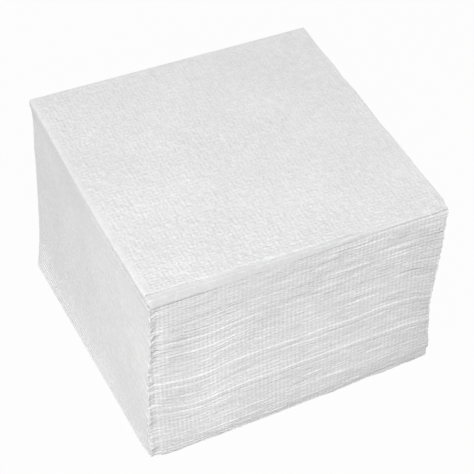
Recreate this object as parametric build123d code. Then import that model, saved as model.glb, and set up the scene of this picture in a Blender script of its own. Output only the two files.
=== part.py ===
from build123d import *
import os
import random

# A free-standing stack of quarter-folded paper napkins. Each napkin is one sheet, folded in half
# along +Y and then in half again along -X, so it has four layers in two pairs. The closed folds
# face -X, the twin folds +Y, and the cut edges -Y and +X. Folds spring open a little, so the stack
# is tallest over the corner where both folds meet and lowest over the opposite one. Sizes are in mm.

# The stack and one folded napkin
NAPKINS = 50
FOLDED_WIDTH = 125.0  # from the closed fold to the cut edges, along X
FOLDED_DEPTH = 121.5  # from the twin folds to the cut edges, along Y
LAYER = 0.365  # one embossed three-ply layer
RESTING_GAP = 0.02  # between one napkin and the next

# Air that the folds hold open inside a napkin
PAIR_GAP_CUT = 0.07  # between the two layers of a pair, at the cut edges
PAIR_GAP_FOLD = 0.1  # the same, at the twin fold
MIDDLE_GAP_CUT = 0.095  # between the two pairs, at the cut edges
MIDDLE_GAP_FOLD = 0.13  # the same, at the closed fold
PRESSED_SHARE = 0.75  # gaps in the lowest napkin, as a share of those near the top
TOP_SPRING = 2.3  # how much further the top napkin's closed fold springs open
SPRING_FADE = 0.3  # share of that which each napkin below keeps

# Where a fold is sprung, the front edge of the upper pair turns down and shuts the mouth
LEAST_SPRING = 0.3  # a fold that springs less has no such lip
LIP_RUN = 1.5  # from the edge to where it turns down
LIP_START = 5.0  # from the closed fold to where it is deepest
LIP_SHARE = 0.95  # of the mouth

# How the napkins lie on each other
LEAN_X = 2.5  # the top lies this far towards +X
LEAN_Y = 0.3  # and this far towards the back
TWIST = -0.9  # degrees, of the top against the bottom
BOW_X = 0.1  # how far off that line the napkins at half height lie, along X
BOW_Y = 1.0  # and along Y
BOW_TWIST = -1.2  # degrees, the same for their turn
WAIST = 1.5  # how far the closed folds stand back at half height
SWING = 0.9  # how far the cut edges at +X wander over the height
SWING_DEGREES = 400  # of their wave, over the height
SWING_MIDDLE = 0.6  # share of the height where they are in line
FOLD_JITTER = 0.12  # folds are knocked flush, so they hardly vary
CUT_JITTER = 0.45  # cut edges vary more, layer by layer
TURN_JITTER = 0.12  # degrees
TOP_TURN = 0.4  # degrees, of the top napkin against the next

# Facets in a half turn of paper
NOSE_FACETS = 3  # outside a twin fold
BEND_FACETS = 7  # round a closed fold

SEED = 11
OUT = "parts"


def bow(height):
    """Share of the bow at a height from 0 to 1: all of it halfway up."""
    return 1 - (2 * height - 1) ** 2


def waist(height):
    """How far the closed folds stand back at a height from 0 to 1: none at the ends."""
    return WAIST * (1 - (2 * height - 1) ** 4)


def swing(height):
    """How far the cut edges at +X stand out at a height from 0 to 1."""
    turn = SWING_DEGREES * (height - SWING_MIDDLE)
    return SWING * Vector(1, 0, 0).rotate(Axis.Z, turn).Y


class Pair:
    """Two layers joined by a twin fold, as an outline in Y and Z, the lower layer on Z 0."""

    def __init__(self, front_low, front_high, back, press, sprung):
        self.mouth = max(front_low, front_high)
        self.back = back
        self.gap_fold = PAIR_GAP_FOLD * press
        self.radius = LAYER + self.gap_fold / 2
        self.nose = back - self.radius
        self.slope = (self.gap_fold - PAIR_GAP_CUT * press) / (self.nose - self.mouth)
        knees = [self.mouth + LIP_RUN] if sprung else []
        self.low = [front_low, *knees]
        self.high = [front_high, *knees]

    def top(self, y):
        """Height of the pair's upper face."""
        return 2 * self.radius + self.slope * (y - self.nose)

    def outline(self, lip):
        """The pair's section, with its front edge turned up by a lip."""

        def lifted(y, height):
            return Vector(y, height + lip * max(0, 1 - (y - self.mouth) / LIP_RUN))

        turns = [180 / NOSE_FACETS * i for i in range(NOSE_FACETS + 1)]
        centre = Vector(self.nose, self.radius)
        points = [
            *[lifted(y, 0) for y in self.low],
            *[centre + Vector(0, -self.radius).rotate(Axis.Z, turn) for turn in turns],
            *[lifted(y, self.top(y)) for y in reversed(self.high)],
            *[lifted(y, self.top(y) - LAYER) for y in self.high],
            Vector(self.back - LAYER, LAYER + self.gap_fold),
            Vector(self.back - LAYER, LAYER),
            *[lifted(y, LAYER) for y in reversed(self.low)],
        ]
        return make_face(Polyline(*points, close=True))


def napkin(spring, press, edges, chance):
    """One folded napkin lying on Z 0, and a patch of its upper face. edges are its four sides."""
    left, right, front, back = edges
    sprung = spring > LEAST_SPRING
    fronts = [front + CUT_JITTER * chance.uniform(-0.5, 0.5) for _ in range(2)]
    pair = Pair(*fronts, back, press, sprung)

    # The closed fold turns the pair over about an axis just above it, as steep as its upper face
    middle_fold = MIDDLE_GAP_FOLD * press + spring
    axis_height = pair.top(0) + middle_fold / 2
    fold_x = left + axis_height
    axis = Axis((fold_x, 0, axis_height), (0, 1, pair.slope))
    rise = (middle_fold - MIDDLE_GAP_CUT * press) / (right - fold_x)
    half_turn = 180 + Vector(1, 0, 0).get_angle(Vector(1, 0, rise))

    # Stations along the sheet: place along X, how deep the lip is, and how far it has turned
    bend_lip = middle_fold / 2 * LIP_SHARE if sprung else 0
    full_lip = spring * LIP_SHARE if sprung else 0
    lower_end, upper_end = [right + CUT_JITTER * chance.uniform(-1, 1) for _ in range(2)]
    stations = [(lower_end, 0, 0)]
    for i in range(BEND_FACETS + 1):
        share = i / BEND_FACETS
        stations.append((fold_x, bend_lip * share, half_turn * share))
    if sprung:
        stations.append((fold_x - LIP_START, full_lip, half_turn))
    stations.append((2 * fold_x - upper_end, 0, half_turn))
    sections = [
        (Plane.YZ.offset(x) * pair.outline(lip)).rotate(axis, turn) for x, lip, turn in stations
    ]
    patch = (Pos(fold_x, 0, 0) * Rectangle(1, 1)).rotate(axis, half_turn)
    return loft(sections, ruled=True), patch.face()


def seat_on(patch):
    """The plane that the next napkin lies on, from a patch of the upper face that looks down."""
    normal = -patch.normal_at()
    point = patch.center()
    height = point.Z + (normal.X * point.X + normal.Y * point.Y) / normal.Z
    return Plane((0, 0, height + RESTING_GAP), x_dir=(1, 0, -normal.X / normal.Z), z_dir=normal)


def stack():
    """All napkins from the bottom up, each on the one below."""
    chance = random.Random(SEED)
    seat = Plane.XY
    napkins = []
    for i in range(NAPKINS):
        height = i / (NAPKINS - 1)
        spring = TOP_SPRING * SPRING_FADE ** (NAPKINS - 1 - i)
        press = PRESSED_SHARE + (1 - PRESSED_SHARE) * height
        shift = LEAN_X * height + BOW_X * bow(height)
        slide = LEAN_Y * height + BOW_Y * bow(height)
        edges = (
            shift - FOLDED_WIDTH / 2 + waist(height) + FOLD_JITTER * chance.uniform(-1, 1),
            shift + FOLDED_WIDTH / 2 + swing(height) + CUT_JITTER * chance.uniform(-1, 1),
            slide - FOLDED_DEPTH / 2 + CUT_JITTER * chance.uniform(-0.5, 0.5),
            slide + FOLDED_DEPTH / 2 + FOLD_JITTER * chance.uniform(-1, 1),
        )
        turn = TWIST * height + BOW_TWIST * bow(height)
        turn += TOP_TURN if i == NAPKINS - 1 else TURN_JITTER * chance.uniform(-1, 1)
        folded, patch = napkin(spring, press, edges, chance)
        place = seat.location * Rotation(0, 0, turn)
        napkins.append(place * folded)
        seat = seat_on(place * patch)
    return napkins


def main():
    os.makedirs(OUT, exist_ok=True)
    napkins = stack()
    box = Compound(napkins).bounding_box()
    middle = box.center()
    for i, folded in enumerate(napkins, 1):
        shape = Pos(-middle.X, -middle.Y, -box.min.Z) * folded
        export_step(shape.solid(), f"{OUT}/napkin_{i:02d}.step")


main()
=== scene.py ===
import math

import bpy
import numpy as np
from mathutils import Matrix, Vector, geometry


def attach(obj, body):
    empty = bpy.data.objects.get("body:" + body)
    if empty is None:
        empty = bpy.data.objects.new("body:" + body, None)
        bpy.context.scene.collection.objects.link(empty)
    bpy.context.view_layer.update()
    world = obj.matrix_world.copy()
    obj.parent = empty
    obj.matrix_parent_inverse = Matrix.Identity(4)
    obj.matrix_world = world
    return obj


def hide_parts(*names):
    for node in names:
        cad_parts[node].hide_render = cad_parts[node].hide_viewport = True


# A free-standing stack of quarter-folded paper napkins. Every napkin is drawn as the one sheet that it
# is: a flat sheet of points with two faces and a cut rim, folded twice into the room of its own node.
# The closed folds face -X, the twin folds +Y, and the cut edges -Y and +X. Lengths are in millimetres
# up to the last step, which turns them into metres. Lamps, camera and SHEET are in metres.

MM = 0.001
NAPKINS = 50
SHEET = (0.25, 0.243)  # the flat size
FOLDED_WIDTH, FOLDED_DEPTH = (1000 * side / 2 for side in SHEET)

# The paper and its folds
LAYER = 0.347  # one embossed three-ply layer
LAYER_AT_FOLD = 0.24  # the least that a closed fold squeezes it to
SQUEEZE_RUN = 4.0  # over this far from the closed fold
PAIR_GAP_CUT = 0.055  # between the two layers of a pair, at the cut edges
PAIR_GAP_FOLD = 0.09  # the same, at the twin fold
NOSE_REACH = 0.5  # how far a twin fold's bend takes up
NOSE_RUN = 0.8  # length of paper in half of it
NOSE_POWER = 2.6  # 2 is round and more is squarer
BEND_REACH = 1.05  # the same three for a closed fold
BEND_RUN = 1.5
BEND_POWER = 6.5

# Near the top closed folds spring open, so a napkin is thicker there than at its cut edges
WEDGE = 0.06  # this much is no spring, as all napkins have it
SPRUNG_REACH = 0.3  # share of the spring that a closed fold's bend takes up besides
SPRUNG_POWER = 1.2  # how much less square it is, by 1 mm of spring
LOOSE = 0.3  # with this much spring the layers lie loose
LOOSE_SHARE = 0.7  # share of the free height over which they then spread
SPRUNG = 0.8  # with more than this the front has a lip instead

# The front of the sprung top napkin. The layer under the topmost one curls up to a crease and turns down
# as a lip over the mouth and the lower pair, and the topmost layer ends behind that crease.
LIP = 3.6  # from the turned layer's edge to the crease
LIP_CLEAR = 0.12  # it ends this far above the next napkin
LIP_FULL = 55.0  # from the closed fold to where it starts to get shorter
LIP_FADE = 50.0
LIP_LOSS = 0.6  # the share that it loses
LIP_SPREAD = 20.0  # the paper for it comes from this far behind
LIP_MITRE = 1.0  # how far from the crease its inner face starts to turn
RIDGE = 0.8  # how high the curl is
RIDGE_REACH = 2.4
STEP_LEFT = 3.3  # how far behind the crease the topmost layer ends, at the closed fold
STEP_RIGHT = 0.95  # and at the cut edges
STEP_LIFT = 0.5  # its edge stands this far off the turned layer
STEP_LIFT_REACH = 5.0
LOWER_BACK = 0.95  # the lower pair's edge lies this far behind the lip

# Points on a quarter of the sheet. Rows of points beside a cut edge or a crease are given as their
# distance from it, and every how many steps they have a point.
EMBOSS = 1.75  # pitch of the embossing
RIM_STEP = EMBOSS / 2
RIM_ROWS = ((0.0, 1), (0.75, 2), (3.2, 4))
LIP_SHARES = (0.07, 0.16, 0.28, 0.55, 0.8, 0.87, 0.92, 0.96, 1)  # of the way from the edge to the crease
BEHIND_CREASE = ((0.2, 2), (0.6, 2), (1.2, 2), (4.0, 4), (16.0, 8))
BEND_SHARES = (0, 1 / 3, 1 / 2, 2 / 3, 1)  # places of points round a quarter turn of a closed fold
NOSE_STEPS = 3  # the same round a twin fold
FOLD_STEP = 4  # every fourth step along a fold
INNER_STEP = 16  # and every sixteenth inside
DOTS_PER_PITCH = 4  # points across one embossed dot of the top face
PLAIN_RIM = 0.5  # the cut edges have no dots for this far

# The cut edges: how far each layer, pair and napkin strays, all along or in waves
RAGGED_REACH = 20.0  # the paper for it comes from this far behind
LAYER_RAGGED = 0.045
LAYER_WAVE, LAYER_WAVE_LENGTH = 0.16, 17.0
PAIR_RAGGED = 0.06
NAPKIN_RAGGED = 0.05
NAPKIN_WAVE, NAPKIN_WAVE_LENGTH = 0.16, 9.0
EDGE_WAVE, EDGE_WAVE_LENGTH = 0.2, 7.0
FUZZ, FUZZ_LENGTH = 0.12, 0.9
RIPPLE = 0.1  # how far the edge stands back at every other step of the embossing
PINCH = 0.3  # share of a layer's thickness that the embossing takes at every other step
PATCH_LENGTHS = 13.0, 4.0  # of the stretches where the embossing shows at the edge
KEPT_JITTER = 0.2  # share of the nodes' own unevenness that the sides keep

# Napkins that stand proud of the front: number from the bottom, how far, and from where to where
PROUD = {
    8: (0.15, 60, 110),
    16: (0.38, 0, 125),
    24: (0.36, 0, 125),
    29: (0.15, 20, 60),
    36: (0.15, 6, 30),
    44: (0.15, 30, 80),
}
PROUD_FADE = 8.0  # it fades out this far beyond

# Gaps between layers at the front: how far from the left, height above the floor, length and height
GAPS = (
    (47, 57.0, 10, 0.5),
    (77, 59.3, 9, 0.6),
    (95, 58.6, 14, 0.6),
    (113, 56.0, 9, 0.6),
    (104, 42.5, 16, 0.4),
    (100, 78.0, 7, 0.4),
    (14, 62.0, 8, 0.4),
    (60, 20.0, 22, 0.3),
    (28, 33.0, 20, 0.3),
    (70, 70.0, 16, 0.3),
    (35, 12.0, 18, 0.3),
    (86, 33.0, 12, 0.35),
)
GAP_DEPTH = 14.0  # how far behind the front they reach
GAP_EASE = 4.5  # layers this far above and below still give way

# The front end of a closed fold is crumpled by random amounts, given as the least and the most. The
# last two are dents, which have a place from the fold and a reach first.
FOLD_END = 2.5  # this far behind the front
FOLD_END_SHIFT = (-0.3, 0.4)  # to the right
FOLD_END_AHEAD = (0.6, 1.4, (-0.05, 0.8))
FOLD_END_BACK = (3.3, 1.7, (0, 0.8))

# How the layers lie near the front. Heights up the stack are shares of its own here.
FRONT_REACH = 38.0  # all of it fades out this far behind the front
SAG, SAG_AT, SAG_REACH = 2.5, 21.0, 13.0  # down, just right of the closed folds
DROOP, DROOP_AT, DROOP_REACH = 2.7, 126.0, 9.0  # down, at the cut edges on the right
HEAVES = (  # up: how far, place from the left and reach, height up the stack and reach
    (1.5, 0, 8, 0.29, 0.12),
    (1.0, 100, 14, 0.45, 0.2),
    (0.8, 76, 7, 0.49, 0.06),
)
CALM_FOOT, CALM_TOP = 0.07, 0.09  # waves fade towards the floor and the top face
SLOW_WAVE = (0.32, 26, 7)  # how high, length, and how many over the height
QUICK_WAVE = (0.13, 8, 17)
WAVE_REACH = 26.0  # from the nearest side but the closed folds'
WAVE_BACK = 122.0  # about where the twin folds lie

# How the sides of the stack stand
BULGE = 1.6  # the lower napkins' front stands this far ahead
BULGE_FROM, BULGE_OVER = 12.0, 45.0  # heights over which that fades
BACK_CORNER = 1.4  # how far in the closed folds stand, high at the back
FOLD_HEIGHTS = (0, 20, 40, 58, 80, 84, 88)  # how far in they stand at the front, by height
FOLD_STANDS = (-0.3, -0.8, 0, 0.9, 1.2, 0.8, 0)
FOOT_SHORT, FOOT_SHORT_HEIGHT = 1.3, 11.0  # the lowest napkins end short on the right
FOOT_ROUND, FOOT_ROUND_HEIGHT = 0.3, 9.0  # their front stands back at the left
FOOT_CORNER, FOOT_CORNER_HEIGHT = (0.9, 1.3), 7.0  # and its corner is rounded
UNDER, UNDER_HEIGHT = 0.6, 1.8  # the bottom edge is pressed under all round
BLUNT, BLUNT_REACH = (0.8, 0.5), 3.0  # the top face's front corner on the right is blunt

# The top face
DOT_HEIGHT = 0.38
DOT_GRAIN = 0.55  # fine unevenness, as a share of the dots
CRISP_LEAST, CRISP_MORE = 0.25, 0.7  # dots are flatter at the back right, and crisper at the front left
SWELL = 0.12  # long waves

# Seeds of the random waves. A cut edge adds 10, 20 and 30 to its own for its finer ones.
SLOW_SEED, QUICK_SEED = 3, 5
FRONT_SEED, RIGHT_SEED = 21, 22
PATCH_SEEDS = 23, 25
GRAIN_SEED = 31
SWELL_SEEDS = 33, 34
NAPKIN_SEED = 100  # of the lowest, and one more for each above

# Light and camera
FLOOR_GLOW = 0.97  # how much of the table's look is plain white
FLOOR_GREY = 0.42  # the light that it throws back
SKY_LIGHT = 0.5
CAMERA_TURN, CAMERA_TILT = -26.36, 44.19  # degrees, towards the left and down
CAMERA_AIM = (0.0006193, -0.0044955, 0.045)
CAMERA_DISTANCE = 0.69976
FOCAL_LENGTH, FILM_WIDTH = 130.23, 36  # mm


def squircle(turn, power):
    """Cosine and sine of a turn, on a rounded square."""
    return np.abs(np.cos(turn)) ** (2 / power), np.abs(np.sin(turn)) ** (2 / power)


def ease(share):
    """From 0 to 1 with no kink at either end."""
    share = np.clip(share, 0, 1)
    return share * share * (3 - 2 * share)


def hump(distance, reach):
    """1 at no distance, and fading out over a reach."""
    return np.exp(-((distance / reach) ** 2))


def behind(place, reach):
    """1 up to a side of the stack, and fading out over a reach behind it."""
    return hump(np.maximum(place, 0), reach)


class Wander:
    """Smooth random waves over two coordinates, from -1 to 1."""

    def __init__(self, seed, size=64):
        self.table = np.random.RandomState(seed).uniform(-1, 1, (size, size))
        self.size = size

    def corner(self, i, j):
        return self.table[i % self.size, j % self.size]

    def __call__(self, u, v):
        u, v = np.broadcast_arrays(np.asarray(u, float), np.asarray(v, float))
        i, j = np.floor(u).astype(int), np.floor(v).astype(int)
        s, t = ease(u - i), ease(v - j)
        near = self.corner(i, j) * (1 - s) + self.corner(i + 1, j) * s
        far = self.corner(i, j + 1) * (1 - s) + self.corner(i + 1, j + 1) * s
        return near * (1 - t) + far * t


class Room:
    """The room of one napkin, read from its node: the planes under and over it, and its four sides."""

    def __init__(self, node):
        mesh = node.data
        points = np.array([v.co for v in mesh.vertices], float) / MM
        mesh.calc_loop_triangles()
        faces = np.array([t.vertices for t in mesh.loop_triangles])
        low, high = points.min(0), points.max(0)
        self.middle = (low + high)[:2] / 2
        self.under, self.over = self.broad_planes(points, faces)
        corners = self.corners(points[:, :2], low, high)
        self.left_front, self.right_front, self.right_back, self.left_back = corners

    @property
    def width(self):
        return np.linalg.norm(self.right_front - self.left_front)

    @property
    def depth(self):
        return np.linalg.norm(self.left_back - self.left_front)

    def broad_planes(self, points, faces):
        """The lowest and the highest of the broad flat faces, each as its height and its two slopes."""
        a, b, c = (points[faces[:, k]] for k in range(3))
        normals = np.cross(b - a, c - a)
        broad = np.abs(normals[:, 2]) > np.abs(normals[:, 2]).max() / 4
        slopes = -normals[broad, :2] / normals[broad, 2:]
        heights = a[broad, 2] + np.sum(slopes * (self.middle - a[broad, :2]), axis=1)
        return [(heights[k], slopes[k]) for k in (heights.argmin(), heights.argmax())]

    @staticmethod
    def corners(plan, low, high, near=10):
        """Where its four sides meet: left and right at the front, right and left at the back."""

        def outermost(corner_x, corner_y, axis):
            where = np.array([corner_x, corner_y])
            close = plan[np.all(np.abs(plan - where) < near, axis=1)]
            ahead = where[axis] == high[axis]
            return close[close[:, axis].argmax() if ahead else close[:, axis].argmin()]

        def meet(a, b, c, d):
            u, v = b - a, d - c
            share = ((c - a)[0] * v[1] - (c - a)[1] * v[0]) / (u[0] * v[1] - u[1] * v[0])
            return a + u * share

        xs, ys = (low[0], high[0]), (low[1], high[1])
        left, right = ([outermost(x, y, 0) for y in ys] for x in xs)
        front, back = ([outermost(x, y, 1) for x in xs] for y in ys)
        return meet(*left, *front), meet(*right, *front), meet(*right, *back), meet(*left, *back)

    def plan(self, right, back):
        """The place in plan that is so far right of the closed fold's side and back from the front."""
        u, v = (right / self.width)[..., None], (back / self.depth)[..., None]
        front_side = self.left_front * (1 - u) + self.right_front * u
        back_side = self.left_back * (1 - u) + self.right_back * u
        return front_side * (1 - v) + back_side * v

    def height(self, plane, plan):
        """A plane's height over places in plan."""
        return plane[0] + (plan - self.middle) @ plane[1]

    def thickness(self, plan):
        return self.height(self.over, plan) - self.height(self.under, plan)


def knock_flush(rooms):
    """Evens out the sides of all napkins under the top one."""
    steps = np.linspace(-1, 1, len(rooms) - 1)
    for corner in ("left_front", "right_front", "right_back", "left_back"):
        own = np.array([getattr(room, corner) for room in rooms[:-1]])
        even = np.column_stack([np.polyval(np.polyfit(steps, own[:, k], 7), steps) for k in (0, 1)])
        for room, new in zip(rooms, even + KEPT_JITTER * (own - even)):
            setattr(room, corner, new)


class Quarter:
    """Points and triangles of a quarter of a flat sheet, measured from its two fold lines."""

    def __init__(self, rows, embossed=False):
        width, depth = FOLDED_WIDTH, FOLDED_DEPTH
        bend = [BEND_RUN * share for share in BEND_SHARES]
        nose = [NOSE_RUN * k / NOSE_STEPS for k in range(NOSE_STEPS + 1)]
        cut_x = [width - back for back, _ in rows]
        cut_y = [depth - back for back, _ in rows]
        points = set()
        for x in bend:
            points |= {(x, y) for y in self.thinned(depth, FOLD_STEP, [*nose, *cut_y])}
        for y in nose:
            points |= {(x, y) for x in self.thinned(width, FOLD_STEP, [*bend, *cut_x])}
        for (_, step), x, y in zip(rows, cut_x, cut_y):
            points |= {(x, v) for v in self.thinned(depth, step, [*nose, *cut_y])}
            points |= {(u, y) for u in self.thinned(width, step, [*bend, *cut_x])}
        points |= {(SQUEEZE_RUN, y) for y in self.thinned(depth, 2 * FOLD_STEP, nose)}
        for x in self.thinned(width, INNER_STEP, []):
            points |= {(x, y) for y in self.thinned(depth, INNER_STEP, [])}
        points = {(round(x, 4), round(y, 4)) for x, y in points}
        if embossed:
            points |= self.dot_grid(width, depth)
        places = sorted(points)
        folds = [[(round(x, 4), p[1]) for p in places if p[0] == round(x, 4)] for x in bend]
        folds += [[p for p in places if p[1] == round(y, 4)] for y in nose]
        number = {p: i for i, p in enumerate(places)}
        edges = [(number[a], number[b]) for row in folds for a, b in zip(row, row[1:])]
        result = geometry.delaunay_2d_cdt([Vector(p) for p in places], edges, [], 0, 1e-5)
        self.points = np.array([tuple(p) for p in result[0]]).round(4)
        self.faces = np.array(result[2])

    @staticmethod
    def thinned(length, step, fixed):
        """Regular places along a side, without those that crowd a fixed one, and the fixed ones."""
        regular = np.arange(0, length + 1e-6, step * RIM_STEP)
        fixed = sorted({0.0, length, *fixed})
        clear = [x for x in regular if min(abs(x - f) for f in fixed) > 0.3 * RIM_STEP]
        return [*fixed, *clear]

    @staticmethod
    def dot_grid(width, depth):
        """A fine grid for the embossed face, which leaves the fold lines and the cut edges as they are."""
        step = EMBOSS / DOTS_PER_PITCH

        def steps(fold, length):
            first = math.ceil((fold + step / 2) / step)
            return np.arange(first, int((length - PLAIN_RIM) / step) + 1) * step

        xs, ys = steps(BEND_RUN, width), steps(NOSE_RUN, depth)
        return {(round(float(x), 4), round(float(y), 4)) for x in xs for y in ys}


class Sheet:
    """A whole flat sheet: its points, which of them are on the inner face, and its faces.

    Folds lie along x 0 and y 0. The outer face of the quarter with x and y below 0 ends up on top.
    """

    def __init__(self, embossed=False):
        rows = RIM_ROWS
        if embossed:
            lip = ((LIP * share, 2) for share in LIP_SHARES)
            rows = (RIM_ROWS[0], *lip, *((LIP + back, step) for back, step in BEHIND_CREASE))
        plain = Quarter(rows)
        top = Quarter(rows, embossed=True) if embossed else plain
        outer = self.whole([plain, plain, plain, top])
        inner = self.whole([plain, plain, plain, plain])
        count = len(outer[0])
        self.flat = np.concatenate([outer[0], inner[0]])
        self.inside = np.arange(len(self.flat)) >= count
        place = {tuple(p): i for i, p in enumerate(inner[0])}
        rim = self.rim(*outer)
        under = {i: place[tuple(outer[0][i])] + count for i in np.unique(rim)}
        strip = [(j, i, under[i], under[j]) for i, j in rim]
        self.faces = [*map(tuple, outer[1]), *map(tuple, inner[1][:, ::-1] + count), *strip]
        self.rim_start = len(outer[1]) + len(inner[1])

    @staticmethod
    def whole(quarters):
        """Four quarters joined along the folds. The last one has x below 0 and y below 0."""
        signs = ((1, -1), (1, 1), (-1, 1), (-1, -1))
        points, faces, start = [], [], 0
        for quarter, (sx, sy) in zip(quarters, signs):
            points.append(quarter.points * (sx, sy))
            order = quarter.faces if sx * sy > 0 else quarter.faces[:, ::-1]
            faces.append(order + start)
            start += len(quarter.points)
        points = np.concatenate(points) + 0.0
        kept, new = np.unique(points, axis=0, return_inverse=True)
        return kept, new.reshape(-1)[np.concatenate(faces)]

    @staticmethod
    def rim(points, faces):
        """The edges that only one face has."""
        edges = np.concatenate([faces[:, [0, 1]], faces[:, [1, 2]], faces[:, [2, 0]]])
        key = np.sort(edges, axis=1)
        _, first, count = np.unique(key, axis=0, return_index=True, return_counts=True)
        return edges[first[count == 1]]

    def is_rim(self):
        """0 for the faces of the sheet and 1 for those of its cut edge."""
        return [0] * self.rim_start + [1] * (len(self.faces) - self.rim_start)

    def map_places(self, corners):
        """Places on a square map for the corners of all faces.

        The outer face fills the left half and the inner one the right half. The rim is cut into four
        rows, above both.
        """
        spread = self.flat / (2 * FOLDED_WIDTH, 2 * FOLDED_DEPTH) + 0.5
        places = spread[corners] * (0.47, 0.93) + 0.01
        places[self.inside[corners], 0] += 0.5
        start = 3 * self.rim_start
        count = (len(corners) - start) // 4
        row, along = np.divmod(np.arange(count) / count * 4, 1)
        left, low = 0.01 + 0.97 * along, 0.953 + 0.012 * row
        right, high = left + 0.9 * 0.97 * 4 / count, low + 0.008
        rectangles = np.stack([right, low, left, low, left, high, right, high])
        places[start:] = rectangles.T.reshape(-1, 2)
        return places


class Lie:
    """How the whole stack has settled. Places are measured from its left front edge."""

    def __init__(self, rooms):
        self.lowest, self.highest = rooms[0], rooms[-1]
        self.slow, self.quick = Wander(SLOW_SEED), Wander(QUICK_SEED)
        self.gaps = [self.gap(rooms, *gap) for gap in GAPS]

    @staticmethod
    def gap(rooms, x, z, length, height):
        """A gap with the layer whose top is nearest to it: its order number and its height."""
        layers = []
        for index, room in enumerate(rooms):
            plan = room.plan(np.array([float(x)]), np.array([0.0]))
            low, thick = room.height(room.under, plan)[0], room.thickness(plan)[0]
            layers += [(low + thick * (layer + 1) / 4, 4 * index + layer) for layer in range(4)]
        top, order = min(layers, key=lambda each: abs(each[0] - z))
        return order, top, x, length, height

    def top_height(self, points):
        return self.highest.height(self.highest.over, points[:, :2])

    def place(self, points, share):
        """How far right of the left front edge, and how far behind it."""
        low, high = self.lowest.left_front, self.highest.left_front
        return (points[:, :2] - low - (high - low) * share[:, None]).T

    def settle(self, points, order):
        """Moves the points of a napkin to where its weight and its neighbours press them."""
        share = np.clip(points[:, 2] / self.top_height(points), 0, 1)
        x, y = self.place(points, share)
        lift = self.sags(x, y, share) + self.waves(x, y, share)
        lift += self.opened(x, y, points[:, 2], order)
        self.move_sides(points, x, y)
        self.press_edges(points, x, y)
        points[:, 2] += lift

    def sags(self, x, y, share):
        """How the layers sag right of the closed folds, and hang over at the cut edges on the right."""
        front = behind(y, FRONT_REACH)
        middle = np.sin(math.pi * share)
        lift = -SAG * hump(x - SAG_AT, SAG_REACH) * middle * (1.25 - 0.6 * share) * front
        for height, at, reach, level, spread in HEAVES:
            lift += height * hump(x - at, reach) * hump(share - level, spread) * front
        droop = DROOP * hump(x - DROOP_AT, DROOP_REACH) * middle * (1.2 - 0.5 * share)
        return lift - droop * ease(1.4 - y / 100)

    def waves(self, x, y, share):
        """Waves along the sides, which neighbours share."""
        side = hump(np.minimum(np.minimum(y, WAVE_BACK - y), FOLDED_WIDTH - x), WAVE_REACH)
        free = ease(share / CALM_FOOT) * ease((1 - share) / CALM_TOP)
        lift = 0
        for wander, (height, length, count) in ((self.slow, SLOW_WAVE), (self.quick, QUICK_WAVE)):
            lift += height * wander((x - y) / length, share * count)
        return lift * side * free

    def opened(self, x, y, z, order):
        """How far the gaps lift what is above them and press down what is below."""
        lift = 0
        for under, top, middle, length, height in self.gaps:
            opened = height / 2 * hump(x - middle, length / 2) * behind(y, GAP_DEPTH)
            lift += np.where(order > under, opened, -opened) * np.exp(-np.abs(z - top) / GAP_EASE)
        return lift

    @staticmethod
    def move_sides(points, x, y):
        """Moves points sideways: the front bulges low down, and the closed folds aren't in line."""
        z = points[:, 2]
        front = behind(y, FRONT_REACH)
        low = ease(z / 9 + 0.2) * ease(1 - (z - BULGE_FROM) / BULGE_OVER)
        bulge = BULGE * np.sin(math.pi * np.clip(x / FOLDED_WIDTH, 0, 1)) ** 0.5 * low * front
        inward = BACK_CORNER * ease((z - 62) / 26) * ease((y - 60) / 60) * behind(x, 40)
        inward += np.interp(z, FOLD_HEIGHTS, FOLD_STANDS) * behind(y, 25) * behind(x, 30)
        corner = ease(1 - z / FOOT_CORNER_HEIGHT) * behind(x, 5) * behind(y, 5)
        short = ease(1 - z / FOOT_SHORT_HEIGHT) * ease((x - 70) / 50)
        rounded = ease(1 - z / FOOT_ROUND_HEIGHT) * behind(x, 18) * front
        points[:, 0] += inward + FOOT_CORNER[0] * corner - FOOT_SHORT * short
        points[:, 1] += FOOT_CORNER[1] * corner + FOOT_ROUND * (rounded + short * front) - bulge

    def press_edges(self, points, x, y):
        """Presses the bottom edge under, and blunts the top face's front corner on the right."""
        under = UNDER * ease(1 - points[:, 2] / UNDER_HEIGHT)
        left, right = behind(x, 4), behind(FOLDED_WIDTH - x, 4)
        front, back = behind(y, 4), behind(FOLDED_DEPTH - y, 4)
        blunt = ease(1 - (self.top_height(points) - points[:, 2]) / 2)
        blunt = blunt * hump(FOLDED_WIDTH - x, BLUNT_REACH) * hump(y, BLUNT_REACH)
        points[:, 0] += under * (0.3 * left - right) - BLUNT[0] * blunt
        points[:, 1] += under * (front - back) + BLUNT[1] * blunt


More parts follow.
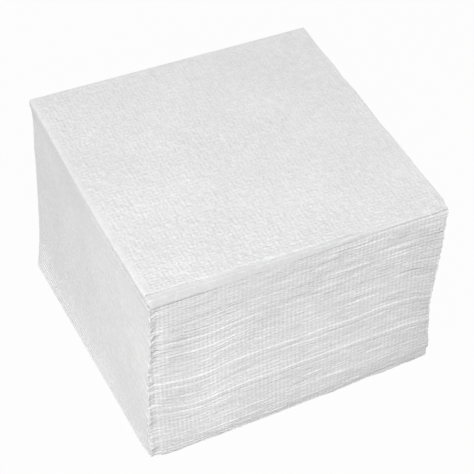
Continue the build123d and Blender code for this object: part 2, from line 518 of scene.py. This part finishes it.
class Napkin:
    """One sheet folded twice into its room. Layers 0 to 3 count from the bottom.

    Its points are known by how far along the sheet they lie from the closed and from the twin fold.
    """

    def __init__(self, index, room, sheet, lie):
        self.index, self.room, self.sheet, self.lie = index, room, sheet, lie
        self.chance = np.random.RandomState(NAPKIN_SEED + index)
        self.tightness = self.chance.uniform(0, 1)
        x, y = sheet.flat.T
        self.from_closed, self.from_twin = np.abs(x), np.abs(y)
        self.to_right, self.to_front = FOLDED_WIDTH - self.from_closed, FOLDED_DEPTH - self.from_twin
        self.upper, self.inner = x < 0, y > 0
        self.layer = np.where(self.upper, np.where(self.inner, 2, 3), np.where(self.inner, 1, 0))
        self.order = 4 * index + self.layer
        self.pressed = self.embossed_rim()
        middle = np.array([room.depth / 2])
        at_sides = room.thickness(room.plan(np.array([0, room.width]), middle))
        self.spring = max(0, at_sides[0] - at_sides[1] - WEDGE)
        self.sprung = self.spring > SPRUNG

    def embossed_rim(self):
        """Points of the cut edges that the embossing presses together: every other one, in patches."""
        at_right, at_front = self.to_right < PLAIN_RIM, self.to_front < PLAIN_RIM
        along = np.where(at_front, self.from_closed, self.from_twin)
        odd = np.round(along / RIM_STEP).astype(int) % 2 == 1
        (long, short), (first, second) = PATCH_LENGTHS, PATCH_SEEDS
        patches = Wander(first)(along / long, self.index * 0.22)
        patches = patches + 0.6 * Wander(second)(along / short, self.index * 0.6)
        return ((at_right | at_front) & odd) * ease(0.3 + patches)

    def pair(self):
        """Thickness of a pair of layers, how high in it a point is, and how far from the back."""
        squeezed = ease(1 - self.from_closed / SQUEEZE_RUN) * self.tightness
        layer = LAYER - (LAYER - LAYER_AT_FOLD) * squeezed
        gap = PAIR_GAP_FOLD + (PAIR_GAP_CUT - PAIR_GAP_FOLD) * self.from_twin / FOLDED_DEPTH
        pair = 2 * layer + gap
        half = pair / 2 - layer * self.sheet.inside
        half -= PINCH * self.pressed * layer * np.where(self.sheet.inside, -0.5, 0.5)
        turn = np.clip(self.from_twin / NOSE_RUN, 0, 1) * math.pi / 2
        reach, rise = squircle(turn, NOSE_POWER)
        level = pair / 2 + np.where(self.inner, 1, -1) * half * rise
        from_back = NOSE_REACH - (NOSE_REACH - layer * self.sheet.inside) * reach
        return pair, level, from_back

    def ragged(self, along, seed, calm=1):
        """How far each layer's cut edge stands out, along that edge."""
        own = self.chance.uniform(-LAYER_RAGGED, LAYER_RAGGED, 4)[self.layer]
        own = own + LAYER_WAVE * Wander(seed + 30, 256)(along / LAYER_WAVE_LENGTH, self.order * 5.3)
        own = own + self.chance.uniform(-PAIR_RAGGED, PAIR_RAGGED, 2)[self.layer // 2]
        whole = self.chance.uniform(-NAPKIN_RAGGED, NAPKIN_RAGGED)
        whole = whole + NAPKIN_WAVE * Wander(seed + 10)(along / NAPKIN_WAVE_LENGTH, self.index * 0.9)
        place = along / EDGE_WAVE_LENGTH + 13.7 * self.index
        wave = EDGE_WAVE * Wander(seed)(place, self.index * 0.5 + self.layer * 0.37)
        fuzz = FUZZ * Wander(seed + 20, 256)(along / FUZZ_LENGTH, self.order * 7.3)
        return (own + whole + wave) * calm + fuzz - RIPPLE * self.pressed

    def crumpled(self, turned):
        """How far right and back the front end of the closed fold is moved. Draws three numbers."""
        near = hump(self.to_front, FOLD_END) * (not self.sprung)
        right = near * turned * self.chance.uniform(*FOLD_END_SHIFT)
        at, reach, amount = FOLD_END_AHEAD
        back = -near * hump(self.from_closed - at, reach) * self.chance.uniform(*amount)
        at, reach, amount = FOLD_END_BACK
        back = back + near * hump(self.from_closed - at, reach) * self.chance.uniform(*amount)
        return right, back

    def fold(self, proud=0, start=0, end=FOLDED_WIDTH):
        """Places of all the sheet's points, in the stack. Its front is proud from a start to an end."""
        room = self.room
        pair, level, from_back = self.pair()
        stretch = (room.depth - NOSE_REACH) / (FOLDED_DEPTH - NOSE_RUN)
        back = room.depth - from_back - np.maximum(0, self.from_twin - NOSE_RUN) * stretch
        reach = BEND_REACH + SPRUNG_REACH * self.spring
        turn = np.clip(self.from_closed / BEND_RUN, 0, 1) * math.pi / 2
        turned, risen = squircle(turn, BEND_POWER - SPRUNG_POWER * min(1, self.spring))
        stretch = (room.width - reach) / (FOLDED_WIDTH - BEND_RUN)
        right = reach - (reach - level) * turned + np.maximum(0, self.from_closed - BEND_RUN) * stretch

        moved_right, moved_back = self.crumpled(turned)
        fade_in, fade_out = (self.from_closed - start) / PROUD_FADE, (end - self.from_closed) / PROUD_FADE
        proud = proud * ease(fade_in + 1) * ease(fade_out + 1)
        calm = 1 - 1.2 * np.minimum(proud, 0.5)
        ahead = self.ragged(self.from_closed, FRONT_SEED, calm) + proud
        aside = self.ragged(self.from_twin, RIGHT_SEED)
        back = back + moved_back - ease(1 - self.to_front / RAGGED_REACH) * ahead
        right = right + moved_right + ease(1 - self.to_right / RAGGED_REACH) * aside

        thick = room.thickness(room.plan(right, back))
        loose = min(1, self.spring / LOOSE) * (not self.sprung)
        level = level * (1 + LOOSE_SHARE * loose * np.maximum(0, thick / 2 / pair - 1))
        z = thick / 2 + np.where(self.upper, 1, -1) * (thick / 2 - level) * risen
        if self.sprung:
            back, z = self.lip(right, back, z, thick, risen)
        plan = room.plan(right, back)
        points = np.column_stack([plan, z + room.height(room.under, plan)])
        self.lie.settle(points, self.order)
        return points

    def lip(self, right, back, z, thick, risen):
        """Turns layer 2 down over the front at a crease, and sets the other layers back from it."""
        share = 1 - LIP_LOSS * ease((right - LIP_FULL) / LIP_FADE)
        crease = LIP * share
        ahead = back - crease
        roof = thick - LAYER - PAIR_GAP_CUT
        spread = risen * ease(1 - back / LIP_SPREAD)

        level = np.clip(ahead, 0, None) * LIP_SPREAD / (LIP_SPREAD - crease)
        inward = (roof - z) * share * ease(1 - ahead / LIP_MITRE)
        below = (roof - z) * (1 - share * risen * (1 - ease(1 + ahead / LIP_MITRE)))
        hanging = np.maximum(0, roof - LIP_CLEAR) * share * risen * np.clip(-ahead / crease, 0, 1)
        curl = RIDGE * share * risen * ease(1 - np.abs(ahead - 0.1) / RIDGE_REACH)
        turned_back = np.where(back < LIP_SPREAD, level + inward, back)
        turned_z = roof - hanging - below + curl

        step = STEP_LEFT + (STEP_RIGHT - STEP_LEFT) * right / self.room.width
        topmost_z = z + STEP_LIFT * step / STEP_LEFT * hump(back, STEP_LIFT_REACH) * risen
        layers = [self.layer == 2, self.layer == 3]
        new_back = np.select(layers, [turned_back, back + step * spread], back + LOWER_BACK * share * spread)
        return new_back, np.select(layers, [turned_z, topmost_z], z)

    def emboss(self, points):
        """Raises the dots of the top face, and lets the upper pair swell a little."""
        x, y = self.sheet.flat.T
        face = (self.layer == 3) & ~self.sheet.inside
        clear = ease((self.from_closed - BEND_RUN) / 2) * ease((self.from_twin - NOSE_RUN) / 2)
        clear = clear * ease(self.to_right / 1.2 + 0.25)
        grain = DOT_GRAIN * Wander(GRAIN_SEED, 256)(x / 0.5, y / 0.5)
        near = self.from_twin / FOLDED_DEPTH + 1 - self.from_closed / FOLDED_WIDTH
        crisp = CRISP_LEAST + CRISP_MORE * ease(near / 1.5)
        height = DOT_HEIGHT * (self.dots(x, y) + grain) * clear * crisp
        points[:, 2] += np.where(face, height, 0)
        long, short = (Wander(seed) for seed in SWELL_SEEDS)
        points[:, 2] += SWELL * (long(x / 28, y / 28) + 0.4 * short(x / 9, y / 9)) * self.upper * clear

    def dots(self, x, y):
        """Height of the embossing, from 0 to 1: a square grid of dots, no two quite the same."""
        i, j = (np.round(v / EMBOSS).astype(int) for v in (x, y))
        strength, right, ahead = self.chance.uniform(-1, 1, (3, 160, 160))[:, i % 160, j % 160]
        offsets = x / EMBOSS - i - 0.12 * right, y / EMBOSS - j - 0.12 * ahead
        across, along = (np.cos(2 * math.pi * np.clip(v, -0.5, 0.5)) / 2 + 0.5 for v in offsets)
        return across**1.4 * along**1.4 * (0.6 + 0.4 * strength)


def piece(name, points, sheet, finishes):
    """A mesh of a folded sheet, with a map of it laid flat for the finish."""
    mesh = bpy.data.meshes.new(name)
    mesh.from_pydata((points * MM).tolist(), [], sheet.faces)
    mesh.shade_smooth()
    mesh.set_sharp_from_angle(angle=math.radians(55))
    for each in finishes:
        mesh.materials.append(each)
    mesh.polygons.foreach_set("material_index", sheet.is_rim())
    layer = mesh.uv_layers.new(name="OFBake")
    corners = np.zeros(len(mesh.loops), int)
    mesh.loops.foreach_get("vertex_index", corners)
    layer.data.foreach_set("uv", sheet.map_places(corners).astype(np.float32).ravel())
    thing = bpy.data.objects.new(name, mesh)
    bpy.context.scene.collection.objects.link(thing)
    even = thing.modifiers.new("even_shading", "WEIGHTED_NORMAL")
    even.keep_sharp = True
    return thing


class Wire:
    """A socket that gives a number, on which Python's operators add Math nodes."""

    def __init__(self, finish, socket):
        self.finish, self.socket = finish, socket

    def maths(self, operation, *others):
        values = dict(enumerate((self, *others)))
        made = self.finish.node("ShaderNodeMath", {"operation": operation}, values)
        return Wire(self.finish, made.outputs[0])

    def __add__(self, other):
        return self.maths("ADD", other)

    def __mul__(self, other):
        return self.maths("MULTIPLY", other)

    def __sub__(self, other):
        return self.maths("SUBTRACT", other)

    def __rsub__(self, other):
        return self * -1 + other

    __radd__ = __add__
    __rmul__ = __mul__


class Finish:
    """The nodes of a material or of the world."""

    def __init__(self, owner):
        owner.use_nodes = True
        self.tree = owner.node_tree
        self.tree.nodes.clear()

    def node(self, kind, settings=None, values=None):
        """A node of a kind: its settings come first, then the values or wires of its sockets."""
        made = self.tree.nodes.new(kind)
        for key, value in (settings or {}).items():
            setattr(made, key, value)
        for key, value in (values or {}).items():
            if isinstance(value, Wire):
                value = value.socket
            if isinstance(value, bpy.types.NodeSocket):
                self.tree.links.new(value, made.inputs[key])
            else:
                made.inputs[key].default_value = value
        return made

    def wire(self, node, output=0):
        return Wire(self, node.outputs[output])

    def blend(self, share, first, second):
        """One shader blended into another."""
        values = {0: share, 1: first.outputs[0], 2: second.outputs[0]}
        return self.node("ShaderNodeMixShader", None, values)


def grey(level):
    return (level, level, level, 1)


def tissue(name, dark, light, contrast, cut=False):
    """White tissue: matt, faintly uneven in tone, with a soft fibrous grain.

    A cut edge also shows the plies, and painted shade and light in columns where the embossing presses them
    together.
    """
    material = bpy.data.materials.new(name)
    finish = Finish(material)
    place = finish.node("ShaderNodeTexCoord").outputs["Object"]

    def noise(scale, detail, stretch=(1, 1, 1)):
        settings = {"operation": "MULTIPLY"}
        spread = finish.node("ShaderNodeVectorMath", settings, {0: place, 1: stretch}).outputs[0]
        values = {"Vector": spread, "Scale": scale, "Detail": detail, "Roughness": 0.6}
        return finish.wire(finish.node("ShaderNodeTexNoise", None, values))

    def part(vector, axis):
        return finish.wire(finish.node("ShaderNodeSeparateXYZ", None, {0: vector}), axis)

    fibres, clouds, patches = noise(1300, 3), noise(420, 2), noise(35, 2)
    tone = fibres * 0.5 + clouds * 0.3 + patches * 0.2
    grain = fibres + clouds * 0.5
    if cut:
        plies, streaks, column_shading_patches = noise(330, 2, (1, 1, 7)), noise(120, 2, (1, 1, 9)), noise(70, 1)
        facing = finish.node("ShaderNodeNewGeometry").outputs["Normal"]
        aside = part(facing, 0).maths("ABSOLUTE").maths("GREATER_THAN", 0.7)
        along = part(place, 0) * (1 - aside) + part(place, 1) * aside
        # Stripes at the embossing pitch, lighter and darker in patches: painted light and shade of the
        # pressed columns.
        column_shading = (along * (2 * math.pi / (EMBOSS * MM))).maths("SINE") * column_shading_patches
        tone = tone * 0.4 + plies * 0.3 + streaks * 0.3 + column_shading * 0.2
        grain = grain * 0.5 + plies * 0.5
    share = (tone - 0.5) * contrast + 0.5
    settings = {"data_type": "RGBA", "clamp_factor": True}
    colour = finish.node("ShaderNodeMix", settings, {"Factor": share, 6: grey(dark), 7: grey(light)})
    values = {"Strength": 0.5, "Distance": 0.00026, "Height": grain}
    bump = finish.node("ShaderNodeBump", None, values)
    values = {
        "Base Color": colour.outputs[2],
        "Roughness": 0.92,
        "IOR": 1.35,
        "Specular IOR Level": 0.25,
        "Normal": bump.outputs["Normal"],
    }
    paper = finish.node("ShaderNodeBsdfPrincipled", None, values)
    finish.node("ShaderNodeOutputMaterial", None, {"Surface": paper.outputs[0]})
    return material


def seen(finish):
    """1 where a ray comes from the camera, or from gloss or glass, and 0 for light that falls."""
    path = finish.node("ShaderNodeLightPath")
    rays = [finish.wire(path, f"Is {kind} Ray") for kind in ("Camera", "Glossy", "Transmission")]
    return rays[0] + rays[1] + rays[2]


def table_top():
    """A pale surface that looks white but still takes the stack's shadow."""
    material = bpy.data.materials.new("pale_table")
    finish = Finish(material)
    matt = finish.node("ShaderNodeBsdfDiffuse", None, {"Color": grey(FLOOR_GREY)})
    white = finish.node("ShaderNodeEmission", None, {"Color": grey(1), "Strength": 1.0})
    look = finish.blend(seen(finish) * FLOOR_GLOW, matt, white)
    finish.node("ShaderNodeOutputMaterial", None, {"Surface": look.outputs[0]})
    mesh = bpy.data.meshes.new("table_top")
    corners = [(-3, -3, 0), (3, -3, 0), (3, 3, 0), (-3, 3, 0)]
    mesh.from_pydata(corners, [], [(0, 1, 2, 3)])
    mesh.materials.append(material)
    thing = bpy.data.objects.new("table_top", mesh)
    bpy.context.scene.collection.objects.link(thing)


def surroundings():
    """White to look at, and a plain soft light on everything."""
    world = bpy.data.worlds.new("surroundings")
    bpy.context.scene.world = world
    finish = Finish(world)
    soft = finish.node("ShaderNodeBackground", None, {"Color": grey(1), "Strength": SKY_LIGHT})
    white = finish.node("ShaderNodeBackground", None, {"Color": grey(1), "Strength": 1.0})
    look = finish.blend(seen(finish), soft, white)
    finish.node("ShaderNodeOutputWorld", None, {"Surface": look.outputs[0]})


def lamp(name, place, aim, size, power):
    """A round soft lamp that faces a place."""
    light = bpy.data.lights.new(name, "AREA")
    light.shape = "DISK"
    light.size = size
    light.energy = power
    thing = bpy.data.objects.new(name, light)
    thing.location = place
    thing.rotation_euler = (Vector(aim) - Vector(place)).to_track_quat("-Z", "Y").to_euler()
    bpy.context.scene.collection.objects.link(thing)


def camera():
    """The photograph's view: from the left front, looking down."""
    turn, tilt = math.radians(CAMERA_TURN), math.radians(CAMERA_TILT)
    level = math.cos(tilt)
    back = Vector((math.sin(turn) * level, -math.cos(turn) * level, math.sin(tilt)))
    lens = bpy.data.cameras.new("camera")
    lens.sensor_width = FILM_WIDTH
    lens.lens = FOCAL_LENGTH
    lens.clip_start, lens.clip_end = 0.01, 20
    thing = bpy.data.objects.new("camera", lens)
    thing.location = Vector(CAMERA_AIM) + back * CAMERA_DISTANCE
    thing.rotation_euler = (-back).to_track_quat("-Z", "Y").to_euler()
    bpy.context.scene.collection.objects.link(thing)
    bpy.context.scene.camera = thing


def build_stack():
    """All napkins from the bottom up, each in place of its solid."""
    rooms = [Room(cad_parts[f"napkin_{i:02d}"]) for i in range(1, NAPKINS + 1)]
    knock_flush(rooms)
    lie = Lie(rooms)
    plain, embossed = Sheet(), Sheet(embossed=True)
    faces = tissue("napkin_tissue_white", 0.77, 0.92, 3.5)
    # The cut edges get a lighter paper colour than the faces (up to 0.96 against 0.92): painted light that
    # makes up for the shade between the layers of the cut edges.
    edge = tissue("napkin_cut_edge_painted_light", 0.77, 0.96, 2.7, cut=True)
    for index, room in enumerate(rooms):
        number = index + 1
        top = number == NAPKINS
        sheet = embossed if top else plain
        napkin = Napkin(index, room, sheet, lie)
        points = napkin.fold(*PROUD.get(number, ()))
        if top:
            napkin.emboss(points)
        made = piece(f"folded_napkin_{number:02d}", points, sheet, (faces, edge))
        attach(made, "root")
        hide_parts(f"napkin_{number:02d}")


bpy.context.scene.view_settings.view_transform = "Standard"
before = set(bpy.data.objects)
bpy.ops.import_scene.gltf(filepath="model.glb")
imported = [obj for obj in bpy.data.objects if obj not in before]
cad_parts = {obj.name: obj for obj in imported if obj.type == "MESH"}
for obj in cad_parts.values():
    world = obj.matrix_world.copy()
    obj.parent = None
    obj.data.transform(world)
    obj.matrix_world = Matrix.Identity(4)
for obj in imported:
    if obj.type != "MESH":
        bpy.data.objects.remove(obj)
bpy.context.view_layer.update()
camera()
surroundings()
table_top()
lamp("key_light", place=(-0.16, -0.45, 0.855), aim=(0, 0, 0.06), size=0.25, power=3.42)
lamp("side_light", place=(-0.68, -0.43, 0.25), aim=(0, 0, 0.05), size=0.4, power=2.75)
build_stack()
